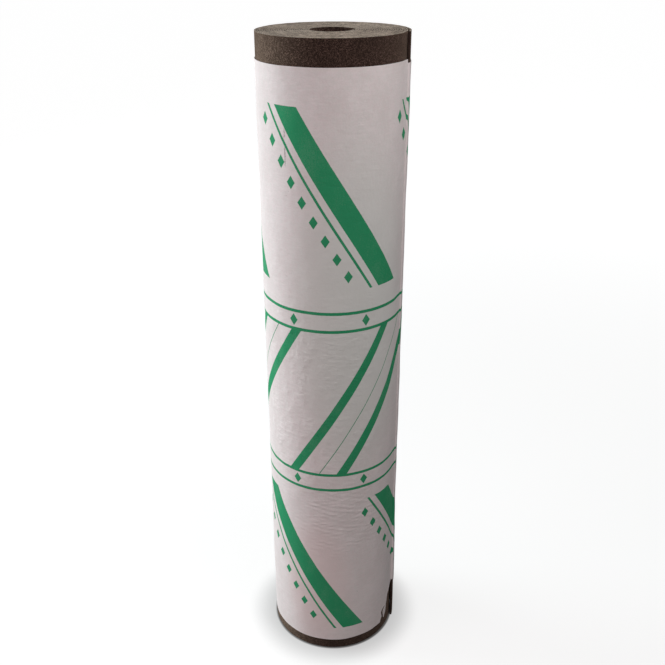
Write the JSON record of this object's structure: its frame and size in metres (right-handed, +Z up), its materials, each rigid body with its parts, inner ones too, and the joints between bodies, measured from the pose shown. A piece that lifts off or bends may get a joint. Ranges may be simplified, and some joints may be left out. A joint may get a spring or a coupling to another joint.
{
  "type": "roll of roofing felt",
  "caption": "Heavy roll of mineral-surfaced bitumen roofing felt standing on its end, wound about an open bore and wrapped in a printed paper sheet.",
  "frame": {"origin": "on the bore's axis, in the plane of the end that the roll stands on", "axes": "+Z up along the bore's axis, +Y away from the picture's camera"},
  "size_m": [0.2079, 0.2059, 1],
  "materials": {
    "felt": "matte dark brown bitumen felt, sanded",
    "paper": "matte off-white paper with a green print"
  },
  "bodies": {
    "root": {"felt_roll": "felt", "paper_wrapper": "paper"}
  },
  "joints": []
}
